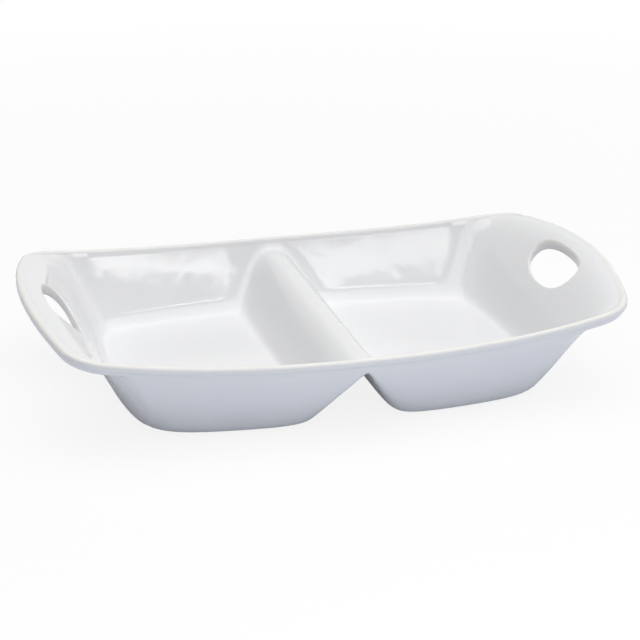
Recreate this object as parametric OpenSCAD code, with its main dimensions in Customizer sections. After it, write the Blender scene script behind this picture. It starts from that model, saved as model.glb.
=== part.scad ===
// Divided chip and dip server: one glazed stoneware casting with two wells,
// a hollow divider, a swept rim and a pierced handle at each end.
// +X runs along the length, +Z is up, and the origin is the middle of the
// footprint on the table.

/* [Overall] */
// Length over the rim, handle to handle
dish_len = 400; // [360:5:440]
// Width over the rim at the middle
dish_wid = 252; // [240:1:264]
// Height of the rim's crest at the middle of the long sides
rim_mid_h = 55.4; // [50:0.2:62]
// How far the rim sweeps up from the middle to the handle tips
rim_rise = 20; // [8:0.5:24]
// How much less it would sweep up at the full width, away from the tips
corner_fall = 9; // [0:0.5:12]
// How late that sweep starts, as the power of its curve
rim_sweep = 2.4; // [2:0.1:4]

/* [Outline] */
// How far each long side bows outwards over its length
side_bow = 21.5; // [14:0.5:26]
// How far each end bows outwards over the width
end_bow = 24.5; // [18:0.5:30]
// Radius of the four corners of the outline
corner_r = 32; // [20:1:36]

/* [Rim] */
// Distance from the rim's outer edge to where the inner wall begins
rim_w = 5; // [4:0.25:6.5]
// Depth of the inner wall's top below the rim's crest, along the sides
rim_drop = 3; // [2:0.25:4]
// Depth of the handles' top face below the rim's crest, at the tips
end_drop = 0.4; // [0.2:0.1:2]
// Height of the upright band round the outside of the rim
band_h = 4.5; // [3:0.25:5]
// Depth from the crest to the foot of the cove under the band
cove_depth = 7.5; // [6.5:0.25:9]
// How far the cove cuts in behind the band
cove_in = 2; // [1:0.25:2.5]

/* [Wells] */
// Width of each long wall in plan, from the rim to the floor, at the middle
wall_run = 30.5; // [24:0.5:36]
// How much narrower each side of the floor gets towards the ends
floor_bow = 31.5; // [26:1:44]
// Distance from the handle's tip to the end of each floor
flange_run = 57; // [54:0.5:62]
// How far the end of each floor bows outwards
floor_end_bow = 6; // [4:0.5:12]
// Thickness of the floor above its recessed underside
floor_t = 9; // [6:0.25:10]
// How far the foot of the outer side walls stands outside the edge of the floor
wall_foot = 3.4; // [2:0.1:5]
// How far the foot of the outer end walls stands outside the end of the floor
end_foot = 0.3; // [0:0.1:2]
// How quickly the end walls ease from steep to level, as a power
end_ease = 1.9; // [1.7:0.05:2.6]
// The same outside, at the corners, where 1 is straight
corner_ease = 2.6; // [1:0.05:3.5]
// How far past the end of the floor the long walls run on, at the rim
crease_out = 4; // [1:0.5:8]
// Distance from the floor's end back to the point that the end wall fans from
fan_run = 250; // [150:10:400]
// Blend between floor and walls inside the wells
floor_blend = 9; // [5:0.5:12]
// Length of an end wall at which it eases in full; shorter ones are straighter
ease_run = 30; // [20:1:40]
// Depth added to both walls where they round into each other, to soften the rim's corners
soft_depth = 6; // [3:0.5:10]
// How tightly the upright corners turn, inside the wells
inner_tight = 5; // [3:0.5:8]
// Blend round the lower edge of the outside
base_blend = 6; // [4:0.5:14]
// How tightly the upright corners of the outside turn, at the ends
outer_tight = 2.3; // [2:0.1:5]

/* [Divider] */
// Width of the divider where it meets the floors
divider_wid = 54.5; // [46:0.5:60]
// Height of the divider's crest above the table
divider_h = 48; // [42:0.5:49]
// Height from the channel's apex up to the divider's crest
crest_t = 3; // [2:0.1:6]
// Rise of the divider's faces for each millimetre across
divider_slope = 2.3; // [2:0.05:2.6]
// Blend over the divider's crest
crest_blend = 20; // [8:0.5:24]
// Width of the channel under the divider, at the table
channel_wid = 53; // [42:0.5:54]
// Blend along the top of that channel
channel_top_blend = 8; // [2:0.5:14]
// How tightly the divider's faces turn into the long walls, inside the wells
nook_tight = 6; // [3:0.5:10]
// How tightly the channel's faces turn into the long walls, outside
channel_tight = 4; // [2.5:0.5:10]

/* [Handles] */
// Distance from the handle's tip to the middle of the finger hole
hole_in = 26; // [24:0.5:30]
// Width of each finger hole, across the handle
hole_wid = 20; // [18:0.5:24]
// Length of each finger hole, along the handle
hole_len = 65; // [50:1:70]
// Squareness of the finger hole, 2 for an ellipse
hole_square = 2.4; // [2:0.1:3]
// Width of the rounding round the mouth of the finger hole
hole_edge = 2; // [1.5:0.1:3]
// Squareness of that rounding, 2 for a full half round
edge_square = 3; // [2:0.25:4]

/* [Feet] */
// Height of the unglazed foot rings
foot_h = 1.4; // [0.8:0.1:2]
// Width of each foot ring's face
foot_w = 6; // [4:0.5:8]
// Distance from the edge of the floor to the foot ring
foot_inset = 8; // [7:0.5:12]
// Radius of the foot rings' corners
foot_r = 16; // [10:1:22]

/* [Hidden] */

glaze = "#f4f5f7";
bare_clay = "#ddd3c3";

half_len = dish_len / 2;
half_wid = dish_wid / 2;
half_floor = half_wid - wall_run;
floor_end = half_len - flange_run;
hole_x = half_len - hole_in;
half_divider = divider_wid / 2;
floor_z = foot_h + floor_t;
// Where the crease between a long wall and an end wall reaches the rim
crease_x = floor_end + crease_out;
// Where the end wall fans out from, on the dish's middle line
fan_x = floor_end - fan_run;
// Where the divider ends and the wells begin, and where the handles begin
divider_seam = half_divider + floor_blend;
seam_gap = 4;
handle_seam = hole_x - hole_wid / 2 - hole_edge - seam_gap - floor_end_bow;
// Distance in from the rim's outer edge to its crest
crest_in = 2.4;

// Steps along each stretch of the surface
floor_steps = 6;
end_wall_steps = 9;
across_floor_steps = 8;
across_blend_steps = 5;
across_wall_steps = 3;
divider_steps = 16;
side_end_steps = 3;
corner_steps = 7;
end_steps = 7;
flange_steps = 5;
edge_steps = 6;
crest_steps = 3;
cove_steps = 3;
foot_steps = 6;

// Small functions

function arc_radius(half, bow) = (half * half + bow * bow) / (2 * bow);
function sag(r, d) = r - sqrt(max(r * r - d * d, 0));
function mix(a, b, t) = a + (b - a) * t;
function clamp(v, lo, hi) = min(max(v, lo), hi);
function ease(t) = t * t * (3 - 2 * t);
// The larger of two heights, rounded over a blend of k
function blend_max(p, q, k) =
    let (h = max(k - abs(p - q), 0) / max(k, 0.000001))
    max(p, q) + h * h * k / 4;
function blend_min(p, q, k) = -blend_max(-p, -q, k);
// The lesser of two depths, rounded where they cross; the higher n, the tighter
function shallower(p, q, n) =
    let (low = min(p, q) + soft_depth, high = max(p, q) + soft_depth)
    low * pow(1 + pow(max(low, 0) / high, n), -1 / n) - soft_depth;
function steps(a, b, n) = [for (i = [1 : n]) mix(a, b, i / n)];

// The outline is three arcs a quarter: long side, corner and end

side_r = arc_radius(half_len, side_bow);
end_r = arc_radius(half_wid, end_bow);
side_c = [0, half_wid - side_r];
end_c = [half_len - end_r, 0];
// The corner's centre lies at a known distance from both other centres
reach_side = side_r - corner_r;
reach_end = end_r - corner_r;
between = end_c - side_c;
gap = norm(between);
along = (reach_side * reach_side - reach_end * reach_end + gap * gap) / (2 * gap);
aside = sqrt(reach_side * reach_side - along * along);
corner_c = side_c + along * between / gap + aside * [between.y, -between.x] / gap;
// Angles at which the side meets the corner and the corner meets the end
side_stop = atan2(corner_c.y - side_c.y, corner_c.x - side_c.x);
end_stop = atan2(corner_c.y, corner_c.x - end_c.x);

// A station is the centre, radius and angle of one place on the outline
function side_station(x) = [side_c, side_r, acos(x / (side_r - rim_w))];
function station_point(s, inset) = s[0] + (s[1] - inset) * [cos(s[2]), sin(s[2])];
// Half-width of the outline at a place along the dish
function side_y(x, inset) = side_c.y + sqrt((side_r - inset) * (side_r - inset) - x * x);
// Distance from the fan's point to an arc of the outline, in one direction
function arc_reach(angle, centre, r) =
    let (d = [fan_x, 0] - centre, b = d * [cos(angle), sin(angle)])
    sqrt(b * b - d * d + r * r) - b;
// Distance from the fan's point to the outline: the side, corner or end arc
function rim_reach(angle, inset) =
    let (s = side_c + (side_r - inset) * [cos(side_stop), sin(side_stop)],
         e = end_c + (end_r - inset) * [cos(end_stop), sin(end_stop)])
    angle > atan2(s.y, s.x - fan_x) ? arc_reach(angle, side_c, side_r - inset)
    : angle > atan2(e.y, e.x - fan_x) ? arc_reach(angle, corner_c, corner_r - inset)
    : arc_reach(angle, end_c, end_r - inset);
// Height of the rim's crest: it sweeps up most at the middle of each end
function rim_z(x, y) =
    let (sweep = pow(abs(x) / half_len, rim_sweep))
    rim_mid_h + (rim_rise - corner_fall * pow(y / half_wid, 2)) * sweep;

// The two faces of the casting are heights over the plan

floor_side_r = arc_radius(half_len, floor_bow);
floor_end_r = arc_radius(half_floor, floor_end_bow);
function floor_y(x) = half_floor - sag(floor_side_r, x);
function floor_x(y) = floor_end - sag(floor_end_r, min(abs(y), half_floor));

// A face is a list of sizes, and these are their places in it
at_floor = 0; // height of the floor
at_side_foot = 1; // how far the side walls' feet stand outside the floor's edge
at_end_foot = 2; // the same for the end walls
at_inset = 3; // how far inside the rim's outer edge the walls end
at_side_depth = 4; // how far below the crest they end, along the sides
at_end_depth = 5; // the same at the tips
at_ease = 6; // ease of the end walls at the corners
at_corner = 7; // tightness of the upright corners
at_base = 8; // blend at the floor
at_ridge_half = 9; // half the ridge's width at the floor
at_ridge_slope = 10; // rise of the ridge's faces for each millimetre across
at_ridge = 11; // height of the ridge
at_ridge_blend = 12; // blend over the ridge
at_nook = 13; // tightness where the ridge turns into the long walls
inner_face = [floor_z, 0, 0, rim_w, rim_drop, end_drop, end_ease, inner_tight, floor_blend,
              half_divider, divider_slope, divider_h, crest_blend, nook_tight];
channel_h = divider_h - crest_t;
channel_slope = (channel_h - foot_h) / (channel_wid / 2);
under_face = [foot_h, wall_foot, end_foot, cove_in, cove_depth, cove_depth, corner_ease,
              outer_tight, base_blend, channel_wid / 2, channel_slope, channel_h,
              channel_top_blend, channel_tight];

// Height of a face's top edge: its depth below the crest changes over from
// the long walls to the tips
function top_z(x, y, f) =
    let (t = clamp((abs(x) - crease_x) / (half_len - rim_w - crease_x), 0, 1))
    rim_z(x, y) - mix(f[at_side_depth], f[at_end_depth], ease(t));
// A long wall: straight in section, leaning out from the floor to the rim
function side_wall_z(x, y, f) =
    let (xs = min(x, crease_x), foot = floor_y(xs) + f[at_side_foot], top = side_y(xs, f[at_inset]))
    f[at_floor] + (top_z(xs, top, f) - f[at_floor]) * (y - foot) / (top - foot);
// The rim's top edge, as seen along the plan from the fan's point
function brim_z(angle, reach, f) = top_z(fan_x + reach * cos(angle), reach * sin(angle), f);
// An end wall: it fans out from that point, steep at the floor and easing to
// nearly level at the handle's rim
function end_wall_z(away, angle, reach, brim, f) =
    let (foot = (floor_x((floor_end - fan_x) * tan(angle)) + f[at_end_foot] - fan_x) / cos(angle))
    let (t = (away / cos(angle) - foot) / max(reach - foot, 1))
    let (aside = min((floor_end - fan_x) * tan(angle) / half_floor, 1))
    let (short = ease(clamp((reach - foot) / ease_run, 0, 1)))
    let (power = mix(1, mix(end_ease, f[at_ease], aside * aside), short))
    f[at_floor] + (brim - f[at_floor]) * (t < 0 ? power * t : 1 - pow(max(1 - t, 0), power));
// The ridge between the wells: two leaning faces and a rounded top
function ridge_z(x, f) =
    blend_min(f[at_floor] + f[at_ridge_slope] * (f[at_ridge_half] - x), f[at_ridge], f[at_ridge_blend]);
function face_z(px, py, f) =
    let (x = abs(px), y = abs(py), away = max(x - fan_x, 1), angle = atan2(y, away))
    let (reach = rim_reach(angle, f[at_inset]), brim = brim_z(angle, reach, f))
    let (side = side_wall_z(x, y, f), end = end_wall_z(away, angle, reach, brim, f))
    let (wall = shallower(brim - side, brim - end, f[at_corner]))
    blend_max(brim - shallower(wall, brim - ridge_z(x, f), f[at_nook]), f[at_floor], f[at_base]);
function top_point(p) = [p.x, p.y, face_z(p.x, p.y, inner_face)];
function under_point(p) = [p.x, p.y, face_z(p.x, p.y, under_face)];

// The wells, divider, handles and rim share one net of plan points

// Places along the dish: across the divider, over the floor and up the end wall
blend_start = floor_end - floor_end_bow - floor_blend / 2;
divider_xs = [for (i = [0 : divider_steps]) mix(-divider_seam, divider_seam, i / divider_steps)];
well_xs = concat([divider_seam], steps(divider_seam, blend_start, floor_steps),
                 steps(blend_start, handle_seam, end_wall_steps));
// Places across the dish at one place along it, from the near rim to the far
function half_ys(x) =
    let (a = floor_y(x) - floor_blend / 2, b = floor_y(x) + floor_blend, c = side_y(x, rim_w))
    concat(steps(0, a, across_floor_steps / 2), steps(a, b, across_blend_steps),
           steps(b, c, across_wall_steps));
function across_ys(x) =
    let (h = half_ys(abs(x)), n = len(h))
    concat([for (i = [n - 1 : -1 : 0]) -h[i]], [0], h);
// Over the floor the net's columns bow outwards with the floor's end
function column(x, side) =
    let (a = floor_y(x) - floor_blend / 2,
         bow = floor_end_bow * clamp((x - divider_seam) / (blend_start - divider_seam), 0, 1))
    [for (y = across_ys(x)) [side * (x + bow * max(1 - y * y / (a * a), 0)), y]];

// Stations round one end, from the far end of the handle seam to the near
end_half = concat(
    [for (x = [for (i = [0 : side_end_steps])
                   mix(handle_seam, (side_r - rim_w) * cos(side_stop), i / side_end_steps)])
        side_station(x)],
    [for (i = [1 : corner_steps])
        [corner_c, corner_r, mix(side_stop, end_stop, i / corner_steps)]],
    [for (i = [1 : end_steps]) [end_c, end_r, mix(end_stop, 0, i / end_steps)]]);
function flip(s, sx, sy) = [[sx * s[0].x, sy * s[0].y], s[1],
    atan2(sy * sin(s[2]), sx * cos(s[2]))];
function reversed(v) = [for (i = [len(v) - 1 : -1 : 0]) v[i]];
function without_first(v) = [for (i = [1 : len(v) - 1]) v[i]];
function without_last(v) = [for (i = [0 : len(v) - 2]) v[i]];
end_round = concat(end_half, without_first(reversed([for (s = end_half) flip(s, 1, -1)])));

// A closed skin over a grid of points: rows wrap round when closed is true
function grid_faces(rows, cols, wrap) =
    [for (i = [0 : rows - (wrap ? 1 : 2)], j = [0 : cols - 1])
        let (a = i * cols + j, b = i * cols + (j + 1) % cols,
             c = ((i + 1) % rows) * cols + j, d = ((i + 1) % rows) * cols + (j + 1) % cols)
        each [[a, b, d], [a, d, c]]];
// A ring of loops, each of the same number of points, joined to the next
module ring_of_loops(loops) {
    polyhedron(points = [for (l = loops) each l],
               faces = grid_faces(len(loops), len(loops[0]), true));
}
// A plate over columns of plan points, from the under face up to the top face
module plate(columns) {
    n = len(columns[0]);
    m = len(columns);
    loops = [for (c = columns)
        concat([for (p = c) top_point(p)], [for (p = reversed(c)) under_point(p)])];
    function cap(k, flipped) = [for (j = [0 : n - 2])
        let (a = k * 2 * n + j, b = a + 1, c = k * 2 * n + 2 * n - 1 - j, d = c - 1)
        each (flipped ? [[a, b, d], [a, d, c]] : [[a, d, b], [a, c, d]])];
    polyhedron(points = [for (l = loops) each l],
               faces = concat(grid_faces(m, 2 * n, false), cap(0, false), cap(m - 1, true)));
}

module right_half_well() {
    color(glaze) plate([for (x = well_xs) column(x, 1)]);
}
module right_well() {
    right_half_well();
}
module left_well() {
    mirror([1, 0, 0]) right_half_well();
}
module divider() {
    color(glaze) plate([for (x = divider_xs) [for (y = across_ys(x)) [x, y]]]);
}

// The rim's section: inner curve, crest, upright band and cove, each point as
// an inset and a depth, between the two edges of its seam
function rim_section(s) =
    let (seam = station_point(s, rim_w), z = rim_z(seam.x, seam.y))
    let (drop = z - top_z(seam.x, seam.y, inner_face))
    let (shape = concat(
        [for (t = steps(0, 1, crest_steps))
            [rim_w - (rim_w - crest_in) * t, drop * (1 - t) * (1 - t)]],
        [for (t = steps(0, 90, crest_steps))
            [crest_in * (1 - sin(t)), crest_in * (1 - cos(t))]],
        [for (t = concat([0], steps(0, 90, cove_steps)))
            [cove_in * sin(t), band_h + (cove_depth - band_h) * (1 - cos(t))]]))
    concat([top_point(seam)],
           [for (q = shape)
               let (p = station_point(s, q[0]))
               [p.x, p.y, z - q[1]]],
           [under_point(seam)]);
module rim() {
    far_xs = concat([for (x = reversed(well_xs)) -x],
                    without_last(without_first(divider_xs)), well_xs);
    far_side = [for (x = far_xs) x < 0 ? flip(side_station(-x), -1, 1) : side_station(x)];
    near_side = reversed([for (s = far_side) flip(s, 1, -1)]);
    left_end = reversed([for (s = end_round) flip(s, -1, 1)]);
    loop = concat(far_side, without_last(without_first(end_round)), near_side,
                  without_last(without_first(left_end)));
    color(glaze) ring_of_loops([for (s = loop) rim_section(s)]);
}

// Radius of the finger hole in one direction, with its edge moved out by grow
function hole_radius(angle, grow) =
    pow(pow(abs(cos(angle)) / (hole_wid / 2 + grow), hole_square)
        + pow(abs(sin(angle)) / (hole_len / 2 + grow), hole_square), -1 / hole_square);
module right_half_handle() {
    centre = [hole_x, 0];
    border = concat([for (s = end_round) station_point(s, rim_w)],
                    without_last(without_first(column(handle_seam, 1))));
    angles = [for (p = border) atan2(p.y, p.x - hole_x)];
    count = len(border);
    function hole_point(i, grow) =
        centre + hole_radius(angles[i], grow) * [cos(angles[i]), sin(angles[i])];
    // Plan points of one loop between the hole's mouth and the border
    function loop_points(t) =
        [for (i = [0 : count - 1]) t == 1 ? border[i] : mix(hole_point(i, hole_edge), border[i], t)];
    ts = [for (k = [0 : flange_steps]) pow(k / flange_steps, 1.3)];
    // The mouth's edge turns through a squarish half round, from the top face
    // to the under
    edge = [for (k = [1 : edge_steps - 1])
        let (turn = 90 - 180 * k / edge_steps,
             out = hole_edge * (1 - pow(cos(turn), 2 / edge_square)),
             up = sign(turn) * pow(abs(sin(turn)), 2 / edge_square))
        [for (i = [0 : count - 1])
            let (mouth = hole_point(i, hole_edge), p = hole_point(i, out),
                 top = top_point(mouth).z, low = under_point(mouth).z)
            [p.x, p.y, (top + low) / 2 + (top - low) / 2 * up]]];
    color(glaze)
        ring_of_loops(concat([for (t = reversed(ts)) [for (p = loop_points(t)) top_point(p)]],
                             edge,
                             [for (t = ts) [for (p = loop_points(t)) under_point(p)]]));
}
module right_handle() {
    right_half_handle();
}
module left_handle() {
    mirror([1, 0, 0]) right_half_handle();
}

// A point a distance d inside the floor's long edge, square to it
function inside_side(x, d) = [x, floor_y(x)] - d * [x, sqrt(floor_side_r * floor_side_r - x * x)]
                                                 / floor_side_r;
// Half the outline of a foot: it follows the floor's edge and has round corners
function foot_half(inset, r) =
    let (shrink = 1 - (inset + r) / floor_side_r,
         x0 = (half_divider + inset + r) / shrink,
         x1 = (floor_end - floor_end_bow - inset - r) / shrink,
         c0 = inside_side(x0, inset + r),
         c1 = inside_side(x1, inset + r),
         lean0 = asin(x0 / floor_side_r),
         lean1 = asin(x1 / floor_side_r))
    concat([for (t = concat([180], steps(180, 90 - lean0, foot_steps)))
               c0 + r * [cos(t), sin(t)]],
           [for (x = without_last(steps(x0, x1, foot_steps))) inside_side(x, inset)],
           [for (i = [0 : foot_steps])
               let (t = mix(90 - lean1, 0, i / foot_steps))
               c1 + r * [cos(t), sin(t)]],
           [for (y = steps(c1.y, 0, foot_steps))
               [c1.x + r + floor_end_bow * (1 - pow(y / c1.y, 2)), y]]);
module foot_shape(inset, r) {
    half = foot_half(inset, r);
    polygon(concat(half, without_first(reversed([for (p = half) [p.x, -p.y]]))));
}
module right_foot() {
    color(bare_clay)
        linear_extrude(foot_h)
            difference() {
                foot_shape(foot_inset, foot_r);
                foot_shape(foot_inset + foot_w, foot_r - foot_w);
            }
}
module right_foot_ring() {
    right_foot();
}
module left_foot_ring() {
    mirror([1, 0, 0]) right_foot();
}

left_well();
right_well();
divider();
rim();
left_handle();
right_handle();
left_foot_ring();
right_foot_ring();
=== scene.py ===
import math

import bpy
import numpy as np
from mathutils import Euler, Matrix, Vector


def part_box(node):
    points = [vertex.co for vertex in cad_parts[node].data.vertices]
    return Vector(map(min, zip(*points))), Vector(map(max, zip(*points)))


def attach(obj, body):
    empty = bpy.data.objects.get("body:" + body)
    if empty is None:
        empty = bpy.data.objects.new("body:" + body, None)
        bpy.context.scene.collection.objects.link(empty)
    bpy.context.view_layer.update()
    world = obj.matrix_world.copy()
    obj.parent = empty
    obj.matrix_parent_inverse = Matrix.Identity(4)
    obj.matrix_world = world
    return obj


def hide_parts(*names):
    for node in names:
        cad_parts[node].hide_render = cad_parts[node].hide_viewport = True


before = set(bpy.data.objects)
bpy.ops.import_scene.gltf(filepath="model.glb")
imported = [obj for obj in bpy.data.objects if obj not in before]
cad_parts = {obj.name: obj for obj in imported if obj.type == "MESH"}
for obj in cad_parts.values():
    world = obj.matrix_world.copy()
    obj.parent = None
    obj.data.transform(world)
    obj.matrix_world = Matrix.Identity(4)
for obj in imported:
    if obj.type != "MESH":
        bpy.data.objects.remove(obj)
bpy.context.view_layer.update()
print("frame loaded, nodes:", sorted(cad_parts))

mm = 0.001  # the shapes below are worked out in millimetres
rimLow, rimHigh = [np.array(corner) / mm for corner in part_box("rim")]
footLow, footHigh = [np.array(corner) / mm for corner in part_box("right_foot_ring")]


# The driving sizes of the casting; the outer ones come from the frame
dish = {
    "halfLength": rimHigh[0],
    "halfWidth": rimHigh[1],
    "footHeight": footHigh[2],
    "rimMiddle": 55.4,       # height of the rim at the middle of the long sides
    "rimRise": 20.0,         # how far it sweeps up to the tips
    "cornerFall": 9.0,       # how much less it would sweep up at the full width
    "rimSweep": 2.4,         # how late that sweep starts
    "sideBow": 21.5,
    "endBow": 24.5,
    "cornerRadius": 32.0,
    "rimWidth": 5.0,         # from the outer edge in to the inner wall
    "rimDrop": 3.0,          # from the crest down to the inner wall, at the sides
    "endDrop": 0.4,          # the same at the tips
    "crestInset": 2.4,
    "bandHeight": 4.5,
    "coveDepth": 7.5,
    "coveInset": 2.0,
    "wallRun": 30.5,
    "floorBow": 31.5,
    "flangeRun": 57.0,
    "floorEndBow": 6.0,
    "floorThickness": 9.0,
    "wallFoot": 3.4,
    "endFoot": 0.3,
    "endEase": 1.9,
    "creaseOut": 4.0,
    "ledge": 6.0,
    "easeRun": 30.0,
    "fanRun": 250.0,
    "channelHalf": 26.5,
    "dividerHalf": 27.25,
    "dividerHeight": 48.0,
    "crestThickness": 3.0,
    "dividerSlope": 2.3,
    "holeIn": 26.0,
    "holeHalfWidth": 10.0,
    "holeHalfLength": 32.5,
    "holeSquare": 2.4,
    "holeEdge": 2.0,
    "edgeSquare": 3.0,
    "seamGap": 4.0,
    "holeHighlight": 0.7,         # how strong the painted cream highlight is at the hole edges, 1 as on the crest
}
floorHalf = dish["halfWidth"] - dish["wallRun"]
floorEnd = dish["halfLength"] - dish["flangeRun"]
holeX = dish["halfLength"] - dish["holeIn"]
creaseX = floorEnd + dish["creaseOut"]
fanX = floorEnd - dish["fanRun"]
channelTop = dish["dividerHeight"] - dish["crestThickness"]
# Each face of the casting: floor height, steps outside the floor's edge, where its
# walls end at the rim, how softly its parts blend, and the ridge between the wells
innerFace = {"floor": dish["footHeight"] + dish["floorThickness"], "across": 0.0, "along": 0.0,
             "inset": dish["rimWidth"], "drop": dish["rimDrop"], "endDrop": dish["endDrop"],
             "cornerEase": 1.9, "corner": 5.0, "base": 9.0, "nook": 6.0,
             "ridgeHalf": dish["dividerHalf"], "ridgeSlope": dish["dividerSlope"],
             "ridge": dish["dividerHeight"], "ridgeBlend": 20.0}
underFace = {"floor": dish["footHeight"], "across": dish["wallFoot"], "along": dish["endFoot"],
             "inset": dish["coveInset"], "drop": dish["coveDepth"], "endDrop": dish["coveDepth"],
             "cornerEase": 2.6, "corner": 2.3, "base": 6.0, "nook": 4.0,
             "ridgeHalf": dish["channelHalf"],
             "ridgeSlope": (channelTop - dish["footHeight"]) / dish["channelHalf"],
             "ridge": channelTop, "ridgeBlend": 8.0}


# radius of an arc from half its chord and its bow: (half^2 + bow^2) / 2 bow
def arcRadius(half, bow):
    return (half * half + bow * bow) / (2 * bow)


# depth of an arc of radius r at a distance d from its top: r - sqrt(r^2 - d^2)
def sag(r, d):
    return r - np.sqrt(np.maximum(r * r - d * d, 0))


# the larger of two heights, with a parabola of width k where they cross
def roundMax(p, q, k):
    h = np.maximum(k - np.abs(p - q), 0) / k
    return np.maximum(p, q) + h * h * k / 4


# the lesser of two depths p and q, rounded where they cross: with a ledge l added to
# both, (p^-n + q^-n)^(-1 / n) - l
def shallower(p, q, n):
    ledge = dish["ledge"]
    low, high = np.minimum(p, q) + ledge, np.maximum(p, q) + ledge
    return low * (1 + (np.maximum(low, 0) / high) ** n) ** (-1 / n) - ledge


# three arcs a quarter: long side, corner and end; the corner's centre is where two
# circles cross, each a side's radius less the corner's radius
def makeOutline():
    a, b, rc = dish["halfLength"], dish["halfWidth"], dish["cornerRadius"]
    sideR, endR = arcRadius(a, dish["sideBow"]), arcRadius(b, dish["endBow"])
    side, end = np.array([0.0, b - sideR]), np.array([a - endR, 0.0])
    gap = np.hypot(*(end - side))
    along = ((sideR - rc) ** 2 - (endR - rc) ** 2 + gap ** 2) / (2 * gap)
    aside = math.sqrt((sideR - rc) ** 2 - along ** 2)
    way = (end - side) / gap
    corner = side + along * way + aside * np.array([way[1], -way[0]]) * np.sign(way[1])
    return {"side": (side, sideR), "end": (end, endR), "corner": (corner, rc),
            "sideStop": math.atan2(corner[1] - side[1], corner[0] - side[0]),
            "endStop": math.atan2(corner[1], corner[0] - end[0])}


outline = makeOutline()


# half-width of the outline at x: height of the long side's arc, moved in by inset
def outlineY(x, inset):
    centre, r = outline["side"]
    return centre[1] + np.sqrt((r - inset) ** 2 - x * x)


# distance from the fan's point to one arc of the outline, in the direction of angle:
# sqrt(b^2 - d^2 + r^2) - b, where d runs from the arc's centre and b is its part that
# way; a direction that misses the arc gives no root, and rimReach doesn't use it
def arcReach(angle, name, inset):
    centre, r = outline[name]
    d = np.array([fanX, 0.0]) - centre
    b = d[0] * np.cos(angle) + d[1] * np.sin(angle)
    return np.sqrt(np.maximum(b * b - d @ d + (r - inset) ** 2, 0)) - b


# distance from the fan's point to the outline: its side, corner or end arc
def rimReach(angle, inset):
    def seen(name, stop):
        centre, r = outline[name]
        return math.atan2(centre[1] + (r - inset) * math.sin(stop),
                          centre[0] + (r - inset) * math.cos(stop) - fanX)

    return np.where(angle > seen("side", outline["sideStop"]), arcReach(angle, "side", inset),
                    np.where(angle > seen("end", outline["endStop"]), arcReach(angle, "corner", inset),
                             arcReach(angle, "end", inset)))


# height of the rim's crest: middle height + (rise - fall * (y / half width) ^ 2)
# * (x / half length) ^ sweep
def rimHeight(x, y):
    sweep = np.abs(x / dish["halfLength"]) ** dish["rimSweep"]
    return dish["rimMiddle"] + (dish["rimRise"] - dish["cornerFall"] * (y / dish["halfWidth"]) ** 2) * sweep


# height of a face's top edge: the crest less a depth, which changes over from the long
# walls to the tips by t^2 (3 - 2 t)
def topHeight(x, y, face):
    t = np.clip((np.abs(x) - creaseX) / (dish["halfLength"] - dish["rimWidth"] - creaseX), 0, 1)
    return rimHeight(x, y) - face["drop"] - (face["endDrop"] - face["drop"]) * t * t * (3 - 2 * t)


floorSideR = arcRadius(dish["halfLength"], dish["floorBow"])
floorEndR = arcRadius(floorHalf, dish["floorEndBow"])
handleSeam = holeX - dish["holeHalfWidth"] - dish["holeEdge"] - dish["seamGap"] - dish["floorEndBow"]
dividerSeam = dish["dividerHalf"] + innerFace["base"]
blendStart = floorEnd - dish["floorEndBow"] - innerFace["base"] / 2


def floorY(x):
    return floorHalf - sag(floorSideR, x)


def floorX(y):
    return floorEnd - sag(floorEndR, np.minimum(y, floorHalf))


# height of one face over the plan: the highest of the leaning long walls, the end walls,
# the divider with its round top, and the floor. An end wall eases from steep to level by
# 1 - (1 - t)^ease from the floor's edge to the brim, less where it is short. Walls and
# divider join as depths below the brim, rounded more the deeper they lie, and meet the
# floor in a parabola
def faceHeight(px, py, face):
    x, y = np.abs(px), np.abs(py)
    xs = np.minimum(x, creaseX)
    foot, top = floorY(xs) + face["across"], outlineY(xs, face["inset"])
    climb = topHeight(xs, top, face) - face["floor"]
    side = face["floor"] + climb * (y - foot) / (top - foot)
    away = x - fanX
    angle = np.arctan2(y, away)
    foot = (floorX(dish["fanRun"] * np.tan(angle)) + face["along"] - fanX) / np.cos(angle)
    reach = rimReach(angle, face["inset"])
    brim = topHeight(fanX + reach * np.cos(angle), reach * np.sin(angle), face)
    rise = brim - face["floor"]
    t = (np.hypot(away, y) - foot) / np.maximum(reach - foot, 1)
    aside = np.minimum(dish["fanRun"] * np.tan(angle) / floorHalf, 1)
    short = np.clip((reach - foot) / dish["easeRun"], 0, 1)
    ease = dish["endEase"] + (face["cornerEase"] - dish["endEase"]) * aside ** 2
    ease = 1 + (ease - 1) * short * short * (3 - 2 * short)
    end = face["floor"] + rise * np.where(t < 0, ease * t, 1 - np.maximum(1 - t, 0) ** ease)
    slope = face["floor"] + face["ridgeSlope"] * (face["ridgeHalf"] - x)
    ridge = -roundMax(-slope, -face["ridge"], face["ridgeBlend"])

    depth = shallower(brim - side, brim - end, face["corner"])
    depth = shallower(depth, brim - ridge, face["nook"])
    return roundMax(brim - depth, face["floor"], face["base"])


def lift(x, y, face):
    return np.stack([x, y, faceHeight(x, y, face)], axis=-1)


# How finely each stretch of the net of plan points is divided; one net serves all
# patches, so that their edges meet
net = {"floor": 22, "endWall": 52, "acrossFloor": 24, "acrossBlend": 16, "acrossWall": 18,
       "divider": 52, "sideEnd": 10, "corner": 30, "end": 40, "flange": 26, "edge": 14,
       "crest": 7, "band": 2, "cove": 6,
       "gather": 1.3,    # how much the rings round a finger hole gather at its edge
       "sameDigits": 4}  # points that agree to so many decimals of a millimetre are one


# places from a to b in n steps, without the first: a + (b - a) i / n
def steps(a, b, n):
    return a + (b - a) * np.arange(1, n + 1) / n


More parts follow.
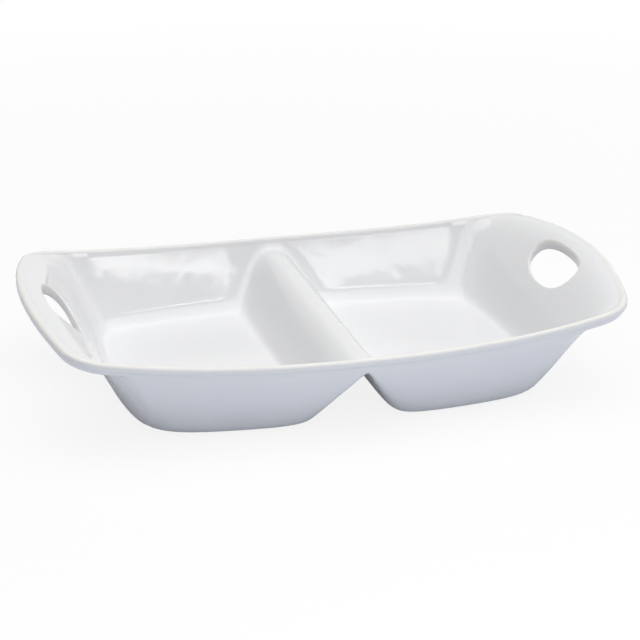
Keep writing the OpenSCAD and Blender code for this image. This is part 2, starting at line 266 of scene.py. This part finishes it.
wellXs = np.concatenate([[dividerSeam], steps(dividerSeam, blendStart, net["floor"]),
                         steps(blendStart, handleSeam, net["endWall"])])
dividerXs = np.linspace(-dividerSeam, dividerSeam, net["divider"] + 1)


# plan points over columns at xs: rows run from the near rim to the far one, closest
# together at the floor's edge, and over the floor the columns bow out with its end
def planNet(xs, bowed):
    e = np.abs(xs)[:, None]
    a, b = floorY(e) - innerFace["base"] / 2, floorY(e) + innerFace["base"]
    c = outlineY(e, dish["rimWidth"])
    half = np.concatenate([a * steps(0, 1, net["acrossFloor"]),
                           a + (b - a) * steps(0, 1, net["acrossBlend"]),
                           b + (c - b) * steps(0, 1, net["acrossWall"])], axis=1)
    y = np.concatenate([-half[:, ::-1], np.zeros_like(e), half], axis=1)
    ramp = np.clip((e - dividerSeam) / (blendStart - dividerSeam), 0, 1) * bowed
    x = xs[:, None] + ramp * dish["floorEndBow"] * np.maximum(1 - (y / a) ** 2, 0)
    return x, y


# stations of the outline as rows of centre x, centre y, radius and angle
def sideStations(xs):
    centre, r = outline["side"]
    angle = np.arccos(xs / (r - dish["rimWidth"]))
    return np.stack([np.full_like(xs, centre[0]), np.full_like(xs, centre[1]),
                     np.full_like(xs, r), angle], axis=1)


def arcStations(name, start, stop, n):
    centre, r = outline[name]
    angle = steps(start, stop, n)
    return np.stack([np.full(n, centre[0]), np.full(n, centre[1]), np.full(n, r), angle], axis=1)


def flipStations(s, sx, sy):
    angle = np.arctan2(sy * np.sin(s[:, 3]), sx * np.cos(s[:, 3]))
    return np.stack([sx * s[:, 0], sy * s[:, 1], s[:, 2], angle], axis=1)


# the plan point of each station: centre + (radius - inset) (cos, sin)
def stationXY(s, inset):
    r = s[:, 2] - inset
    return s[:, 0] + r * np.cos(s[:, 3]), s[:, 1] + r * np.sin(s[:, 3])


cornerX = (outline["side"][1] - dish["rimWidth"]) * math.cos(outline["sideStop"])
endHalf = np.concatenate([sideStations(np.linspace(handleSeam, cornerX, net["sideEnd"] + 1)),
                          arcStations("corner", outline["sideStop"], outline["endStop"], net["corner"]),
                          arcStations("end", outline["endStop"], 0.0, net["end"])])
endRound = np.concatenate([endHalf, flipStations(endHalf, 1, -1)[::-1][1:]])


# quads between neighbouring rows and columns of a grid of points
def gridQuads(rows, cols, wrap):
    i, j = np.meshgrid(np.arange(rows - 1), np.arange(cols if wrap else cols - 1), indexing="ij")
    k = (j + 1) % cols
    return np.stack([i * cols + j, (i + 1) * cols + j, (i + 1) * cols + k, i * cols + k],
                    axis=-1).reshape(-1, 4)


# a patch is its points, its quads and how strong the painted cream highlight is at each row of points
def patch(points, wrap=False, flip=False, paintedHighlight=0.0):
    quads = gridQuads(points.shape[0], points.shape[1], wrap)
    rows = np.broadcast_to(np.reshape(paintedHighlight, (-1, 1)), points.shape[:2])
    return points.reshape(-1, 3), quads[:, ::-1] if flip else quads, rows.reshape(-1)


def mirrored(source):
    points, quads, paintedHighlight = source
    return points * np.array([-1, 1, 1]), quads[:, ::-1], paintedHighlight


def wellPatches():
    x, y = planNet(wellXs, 1.0)
    top, under = patch(lift(x, y, innerFace)), patch(lift(x, y, underFace), flip=True)
    return [top, under, mirrored(top), mirrored(under)]


def dividerPatches():
    x, y = planNet(dividerXs, 0.0)
    return [patch(lift(x, y, innerFace)), patch(lift(x, y, underFace), flip=True)]


# the rim's section carried round the stations: a parabola from the inner wall up to the
# crest, a quarter round to the outer edge, the upright band, and a quarter hollow; a
# painted cream highlight is strongest along the crest
def rimPatch():
    farXs = np.concatenate([-wellXs[::-1], dividerXs[1:-1], wellXs])
    far = sideStations(np.abs(farXs))
    far = np.where(farXs[:, None] < 0, flipStations(far, -1, 1), far)
    near = flipStations(far, 1, -1)[::-1]
    loop = np.concatenate([far, endRound[1:-1], near, flipStations(endRound, -1, 1)[::-1][1:-1]])
    t = steps(0, 1, net["crest"])
    w, c = dish["rimWidth"], dish["crestInset"]
    seamX, seamY = stationXY(loop, w)
    crest = rimHeight(seamX, seamY)
    drop = crest - topHeight(seamX, seamY, innerFace)
    rings = [lift(seamX, seamY, innerFace)]
    for part in t:
        x, y = stationXY(loop, w + (c - w) * part)
        rings.append(np.stack([x, y, crest - drop * (1 - part) ** 2], axis=-1))
    quarter = steps(0, math.pi / 2, net["crest"])
    outer = np.stack([c * (1 - np.sin(quarter)), c * (1 - np.cos(quarter))], axis=1)
    band = np.stack([np.zeros(net["band"]), steps(c, dish["bandHeight"], net["band"])], axis=1)
    hollow, below = steps(0, math.pi / 2, net["cove"]), dish["coveDepth"] - dish["bandHeight"]
    cove = np.stack([dish["coveInset"] * np.sin(hollow),
                     dish["bandHeight"] + below * (1 - np.cos(hollow))], axis=1)
    for inset, depth in np.concatenate([outer, band, cove]):
        x, y = stationXY(loop, inset)
        rings.append(np.stack([x, y, crest - depth], axis=-1))
    rings.append(lift(seamX, seamY, underFace))
    # painted cream highlight, rising to the crest and fading over the outer round
    paintedHighlight = np.concatenate([[0], t ** 3, np.cos(quarter) ** 2, np.zeros(net["band"] + net["cove"] + 1)])
    return patch(np.stack(rings), wrap=True, flip=True, paintedHighlight=paintedHighlight)


# distance of the finger hole's edge from its centre: a squarish ellipse in polar form
def holeRadius(angle, grow):
    n = dish["holeSquare"]
    return ((np.abs(np.cos(angle)) / (dish["holeHalfWidth"] + grow)) ** n
            + (np.abs(np.sin(angle)) / (dish["holeHalfLength"] + grow)) ** n) ** (-1 / n)


# rings from the handle's border in to the hole, round its edge, half a squarish ellipse in
# section, and out again below; a painted cream highlight lies where the edge bends, by |sin(2 turn)|
def handlePatches():
    seamX, seamY = planNet(np.array([handleSeam]), 1.0)
    x, y = stationXY(endRound, dish["rimWidth"])
    bx, by = np.concatenate([x, seamX[0, 1:-1]]), np.concatenate([y, seamY[0, 1:-1]])
    angle = np.arctan2(by, bx - holeX)

    def around(grow):
        r = holeRadius(angle, grow)
        return holeX + r * np.cos(angle), r * np.sin(angle)

    mouthX, mouthY = around(dish["holeEdge"])
    out = np.append(0, steps(0, 1, net["flange"])) ** net["gather"]
    fx, fy = mouthX + out[:, None] * (bx - mouthX), mouthY + out[:, None] * (by - mouthY)
    high, low = faceHeight(mouthX, mouthY, innerFace), faceHeight(mouthX, mouthY, underFace)
    edge, power = [], 2 / dish["edgeSquare"]
    turns = steps(math.pi / 2, -math.pi / 2, net["edge"])[:-1]
    for turn in turns:
        ex, ey = around(dish["holeEdge"] * (1 - math.cos(turn) ** power))
        up = math.copysign(abs(math.sin(turn)) ** power, turn)
        edge.append(np.stack([ex, ey, (high + low) / 2 + (high - low) / 2 * up], axis=-1))
    rings = np.concatenate([lift(fx, fy, innerFace)[::-1], np.stack(edge), lift(fx, fy, underFace)])
    bare = np.zeros(len(fx))
    # painted cream highlight where the hole's edge bends
    paintedHighlight = np.concatenate([bare, np.abs(np.sin(2 * turns)) * dish["holeHighlight"], bare])
    right = patch(rings, wrap=True, paintedHighlight=paintedHighlight)
    return [right, mirrored(right)]


# one mesh from all patches, with the points that they share merged into one
def glazedCasting():
    patches = wellPatches() + dividerPatches() + [rimPatch()] + handlePatches()
    offset, quads = 0, []
    for points, faces, _ in patches:
        quads.append(faces + offset)
        offset += len(points)
    points = np.concatenate([p[0] for p in patches])
    _, first, back = np.unique(np.round(points, net["sameDigits"]), axis=0,
                               return_index=True, return_inverse=True)
    quads = back.reshape(-1)[np.concatenate(quads)]
    mesh = bpy.data.meshes.new("glazedCasting")
    mesh.from_pydata(points[first] * mm, [], quads.tolist())
    mesh.polygons.foreach_set("use_smooth", np.ones(len(mesh.polygons), dtype=bool))
    # the painted cream highlight of each point, kept as a mesh attribute
    paintedHighlight = np.concatenate([p[2] for p in patches])[first].astype(np.float32)
    mesh.attributes.new("paintedHighlightWeight", "FLOAT", "POINT").data.foreach_set("value", paintedHighlight)
    mesh.validate(clean_customdata=False)
    mesh.update()
    piece = bpy.data.objects.new("glazedCasting", mesh)
    bpy.context.scene.collection.objects.link(piece)
    return piece


casting = glazedCasting()
print("casting skin:", len(casting.data.vertices), "points,", len(casting.data.polygons), "faces")


# Finishes. Clouds, patches, waves and grain are pairs of scale and detail, pinholes are
# scale, size and share; scales count features per metre, and sizes are parts of a feature
glazeFinish = {"usual": (0.83, 0.833, 0.841, 1), "thick": (0.805, 0.81, 0.82, 1),
               # cream of the painted highlight on the crest and the hole edges
               "paintedHighlight": (0.85, 0.83, 0.77, 1),
               "clouds": (9.0, 2.0), "dullPatches": (38.0, 3.0), "roughness": (0.04, 0.075),
               "waves": (60.0, 1.0), "waveHeight": 0.03 * mm,
               "pinholes": (120.0, 0.03, 0.10), "pinDepth": 0.06 * mm}
clayFinish = {"pale": (0.70, 0.63, 0.53, 1), "warm": (0.58, 0.49, 0.38, 1), "speck": (0.42, 0.33, 0.25, 1),
              "clouds": (26.0, 4.0), "grain": (1400.0, 3.0), "grainHeight": 0.06 * mm,
              "roughness": (0.78, 0.95), "pinholes": (700.0, 0.22, 0.25), "pinDepth": 0.18 * mm}
cloudNoise = {"roughness": 0.5, "low": 0.3, "high": 0.7}


# a node with its settings and inputs, each input either linked or given a value
def addNode(tree, kind, inputs, **settings):
    node = tree.nodes.new(kind)
    for name, value in settings.items():
        setattr(node, name, value)
    for name, value in inputs.items():
        if isinstance(value, bpy.types.NodeSocket):
            tree.links.new(value, node.inputs[name])
        else:
            node.inputs[name].default_value = value
    return node


def mathNode(tree, operation, *values):
    return addNode(tree, "ShaderNodeMath", dict(enumerate(values)), operation=operation).outputs[0]


# a node group with a place, named numbers and one result, and its inner sockets
def newGroup(name, numbers, result):
    group = bpy.data.node_groups.new(name, "ShaderNodeTree")
    group.interface.new_socket(name="Place", in_out="INPUT", socket_type="NodeSocketVector")
    for label in numbers:
        group.interface.new_socket(name=label, in_out="INPUT", socket_type="NodeSocketFloat")
    group.interface.new_socket(name=result, in_out="OUTPUT", socket_type="NodeSocketFloat")
    return group, group.nodes.new("NodeGroupInput").outputs, group.nodes.new("NodeGroupOutput").inputs


# soft clouds from 0 to 1: noise, spread so that its part from low to high fills the range
def makeClouds():
    group, given, result = newGroup("softClouds", ("Scale", "Detail"), "Mask")
    noise = addNode(group, "ShaderNodeTexNoise", {"Vector": given["Place"], "Scale": given["Scale"],
                                                  "Detail": given["Detail"],
                                                  "Roughness": cloudNoise["roughness"]})
    spread = addNode(group, "ShaderNodeMapRange", {"Value": noise.outputs["Fac"],
                                                   "From Min": cloudNoise["low"],
                                                   "From Max": cloudNoise["high"]})
    group.links.new(spread.outputs["Result"], result["Mask"])
    return group


# pinholes: round dips about the centres of random cells, kept in a share of the cells
def makePinholes():
    group, given, result = newGroup("pinholes", ("Scale", "Size", "Share"), "Mask")
    cells = addNode(group, "ShaderNodeTexVoronoi", {"Vector": given["Place"], "Scale": given["Scale"]})
    fall = {"Value": cells.outputs["Distance"], "From Max": given["Size"], "To Min": 1.0, "To Max": 0.0}
    dip = addNode(group, "ShaderNodeMapRange", fall, interpolation_type="SMOOTHSTEP")
    pick = addNode(group, "ShaderNodeSeparateColor", {"Color": cells.outputs["Color"]}).outputs["Red"]
    kept = mathNode(group, "LESS_THAN", pick, given["Share"])
    group.links.new(mathNode(group, "MULTIPLY", dip.outputs["Result"], kept), result["Mask"])
    return group


clouds, pinholes = makeClouds(), makePinholes()


def cloudMask(tree, place, pair):
    scale, detail = pair
    inputs = {"Place": place, "Scale": scale, "Detail": detail}
    return addNode(tree, "ShaderNodeGroup", inputs, node_tree=clouds).outputs["Mask"]


def pinholeMask(tree, place, triple):
    scale, size, share = triple
    inputs = {"Place": place, "Scale": scale, "Size": size, "Share": share}
    return addNode(tree, "ShaderNodeGroup", inputs, node_tree=pinholes).outputs["Mask"]


# the first colour changing over to the second with share; a mix node's colours are its
# inputs 6 and 7 and its output 2
def blended(tree, share, first, second):
    return addNode(tree, "ShaderNodeMix", {0: share, 6: first, 7: second}, data_type="RGBA").outputs[2]


# a mask from 0 to 1 made to run over the values of span
def between(tree, mask, span):
    inputs = {"Value": mask, "To Min": span[0], "To Max": span[1]}
    return addNode(tree, "ShaderNodeMapRange", inputs).outputs["Result"]


# the normals of a surface whose height is one mask times its height, less another times
# its depth
def relief(tree, raised, height, sunk, depth):
    up = mathNode(tree, "MULTIPLY", raised, height)
    level = mathNode(tree, "MULTIPLY_ADD", sunk, -depth, up)
    bump = addNode(tree, "ShaderNodeBump", {"Height": level, "Distance": 1.0, "Strength": 1.0})
    return bump.outputs["Normal"]


def startMaterial(name):
    material = bpy.data.materials.new(name)
    material.use_nodes = True
    tree = material.node_tree
    place = tree.nodes.new("ShaderNodeTexCoord").outputs["Object"]
    return material, tree, tree.nodes["Principled BSDF"].inputs, place


# white glaze: cloudy where it lies thicker, with a painted cream highlight on the edges,
# faintly wavy, with a few pinholes
def makeGlaze(finish):
    material, tree, surface, place = startMaterial("whiteGlaze")
    dull, waves = [cloudMask(tree, place, finish[name]) for name in ("dullPatches", "waves")]
    pins = pinholeMask(tree, place, finish["pinholes"])
    body = blended(tree, cloudMask(tree, place, finish["clouds"]), finish["usual"], finish["thick"])
    # the painted cream highlight along the crest and the hole edges
    edge = addNode(tree, "ShaderNodeAttribute", {}, attribute_name="paintedHighlightWeight").outputs["Fac"]
    tree.links.new(blended(tree, edge, body, finish["paintedHighlight"]), surface["Base Color"])
    tree.links.new(between(tree, dull, finish["roughness"]), surface["Roughness"])
    tree.links.new(relief(tree, waves, finish["waveHeight"], pins, finish["pinDepth"]), surface["Normal"])
    return material


# bare fired clay: warm clouds, dark specks in its pores, and a fine grain
def makeClay(finish):
    material, tree, surface, place = startMaterial("bareClay")
    grain = cloudMask(tree, place, finish["grain"])
    pores = pinholeMask(tree, place, finish["pinholes"])
    body = blended(tree, cloudMask(tree, place, finish["clouds"]), finish["pale"], finish["warm"])
    tree.links.new(blended(tree, pores, body, finish["speck"]), surface["Base Color"])
    tree.links.new(between(tree, grain, finish["roughness"]), surface["Roughness"])
    tree.links.new(relief(tree, grain, finish["grainHeight"], pores, finish["pinDepth"]), surface["Normal"])
    return material


glaze, clay = makeGlaze(glazeFinish), makeClay(clayFinish)
casting.data.materials.append(glaze)
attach(casting, "root")
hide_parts("left_well", "right_well", "divider", "rim", "left_handle", "right_handle")
for name in ("left_foot_ring", "right_foot_ring"):
    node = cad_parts[name]
    node.data.materials.clear()
    node.data.materials.append(clay)
print("finishes ready")


# The studio: the eye sees a nearly white floor, on which the shadow stays and which turns
# fully white further away, in a white room. As light on the dish the room is dim
studio = {"floorColor": (0.9, 0.9, 0.9, 1), "floorBounce": (0.86, 0.9, 1.0, 1), "floorRoughness": 0.9,
          "floorWhite": 0.86, "floorGloss": 0.1, "whiteFrom": 0.3, "whiteTo": 1.2,
          "floorDrop": 0.0005, "reach": 4.0, "roomLight": 0.12}


# how far a ray sees the white: forEye from the camera or through glass, forReflection in
# a reflection, and not at all as light that falls on something
def seenDirectly(tree, forEye, forReflection):
    path = tree.nodes.new("ShaderNodeLightPath").outputs
    eye, gloss, through = [mathNode(tree, "MULTIPLY", path[kind], share) for kind, share in
                           (("Is Camera Ray", forEye), ("Is Glossy Ray", forReflection),
                            ("Is Transmission Ray", forEye))]
    return mathNode(tree, "MAXIMUM", mathNode(tree, "MAXIMUM", eye, gloss), through)


# a matt floor that answers light by floorBounce and is seen as floorColor, mixed with
# plain white by the share seen directly, which grows to 1 from whiteFrom to whiteTo
def makeFloorMaterial():
    material = bpy.data.materials.new("studioFloor")
    material.use_nodes = True
    tree = material.node_tree
    shader = tree.nodes["Principled BSDF"]
    tone = blended(tree, seenDirectly(tree, 1.0, 1.0), studio["floorBounce"], studio["floorColor"])
    tree.links.new(tone, shader.inputs["Base Color"])
    shader.inputs["Roughness"].default_value = studio["floorRoughness"]
    shader.inputs["Specular IOR Level"].default_value = 0.0
    white = tree.nodes.new("ShaderNodeEmission")
    place = tree.nodes.new("ShaderNodeTexCoord").outputs["Object"]
    away = addNode(tree, "ShaderNodeVectorMath", {0: place}, operation="LENGTH").outputs["Value"]
    fade = {"Value": away, "From Min": studio["whiteFrom"], "From Max": studio["whiteTo"],
            "To Min": 1.0, "To Max": 1 / studio["floorWhite"]}
    gain = addNode(tree, "ShaderNodeMapRange", fade).outputs["Result"]
    share = mathNode(tree, "MULTIPLY", seenDirectly(tree, studio["floorWhite"], studio["floorGloss"]), gain)
    mix = addNode(tree, "ShaderNodeMixShader", {0: share, 1: shader.outputs[0], 2: white.outputs[0]})
    tree.links.new(mix.outputs[0], tree.nodes["Material Output"].inputs["Surface"])
    return material


def makeFloor():
    mesh = bpy.data.meshes.new("studioFloor")
    r, z = studio["reach"], -studio["floorDrop"]
    mesh.from_pydata([(-r, -r, z), (r, -r, z), (r, r, z), (-r, r, z)], [], [(0, 1, 2, 3)])
    mesh.materials.append(makeFloorMaterial())
    floor = bpy.data.objects.new("studioFloor", mesh)
    bpy.context.scene.collection.objects.link(floor)


# an area lamp that faces its target, turned about its own axis by turn degrees
def makeLamp(name, place, target, size, power, turn=0.0, shape="ELLIPSE"):
    lamp = bpy.data.lights.new(name, "AREA")
    lamp.shape = shape
    lamp.size, lamp.size_y = size
    lamp.energy = power
    holder = bpy.data.objects.new(name, lamp)
    holder.location = place
    way = np.subtract(target, place)
    tilt = math.acos(-way[2] / np.linalg.norm(way))
    swing = math.atan2(way[1], way[0]) - math.pi / 2
    facing = Euler((tilt, 0, swing)).to_matrix() @ Euler((0, 0, math.radians(turn))).to_matrix()
    holder.rotation_euler = facing.to_euler()
    bpy.context.scene.collection.objects.link(holder)


# a room as bright as white to the eye, and as dim as roomLight to the dish
def makeRoom():
    world = bpy.data.worlds.new("studio")
    bpy.context.scene.world = world
    world.use_nodes = True
    tree = world.node_tree
    background = tree.nodes["Background"].inputs
    background["Color"].default_value = (1, 1, 1, 1)
    level = between(tree, seenDirectly(tree, 1.0, 1.0), (studio["roomLight"], 1.0))
    tree.links.new(level, background["Strength"])


# Lamps, in metres, watts and degrees: two large softboxes light the dish, two lamps in
# front light the floor, which lights the outer walls, and two strips are there to be
# seen as reflections in the far walls
lamps = {
    "softboxAbove": {"place": (0, 0, 1.3), "target": (0, 0, 0), "size": (2.2, 1.9), "power": 19.3},
    "tableLight": {"place": (0, -0.8, 0.5), "target": (0, -0.93, 0), "size": (1.6, 0.6), "power": 3.2},
    "tableRight": {"place": (0.6, -0.8, 0.5), "target": (0.7, -1.0, 0), "size": (0.6, 0.6), "power": 1.4},
    "softboxRight": {"place": (1.3, 0, 0.7), "target": (0, 0, 0), "size": (0.8, 1.2), "power": 2.5},
    "stripRight": {"place": (0.332, -1.594, 1.660), "target": (0.0, 0.08, 0.04),
                   "size": (0.43, 0.075), "power": 0.5, "turn": -20, "shape": "RECTANGLE"},
    "stripLeft": {"place": (0.816, -1.447, 1.628), "target": (0.0, 0.08, 0.04),
                  "size": (0.40, 0.045), "power": 0.36, "turn": 6.5, "shape": "RECTANGLE"},
}
# The camera looks at its target from a distance; lens and sensor are in millimetres
cameraView = {"azimuth": -15.05, "elevation": 22.02, "distance": 1.2597,
              "target": (-0.01787, 0.0, 0.01012), "sensor": 36, "lens": 103.1990625,
              "shiftX": 0.04667, "shiftY": 0.05713}


def makeCamera():
    camera = bpy.data.cameras.new("camera")
    camera.sensor_width, camera.lens = cameraView["sensor"], cameraView["lens"]
    camera.shift_x, camera.shift_y = cameraView["shiftX"], cameraView["shiftY"]
    a, e = math.radians(cameraView["azimuth"]), math.radians(cameraView["elevation"])
    back = np.array([math.sin(a) * math.cos(e), -math.cos(a) * math.cos(e), math.sin(e)])
    holder = bpy.data.objects.new("camera", camera)
    holder.location = np.array(cameraView["target"]) + cameraView["distance"] * back
    holder.rotation_euler = (math.pi / 2 - e, 0, a)
    bpy.context.scene.collection.objects.link(holder)
    bpy.context.scene.camera = holder


makeFloor()
makeRoom()
for name, settings in lamps.items():
    makeLamp(name, **settings)
makeCamera()
bpy.context.scene.view_settings.view_transform = "Standard"
print("studio ready")
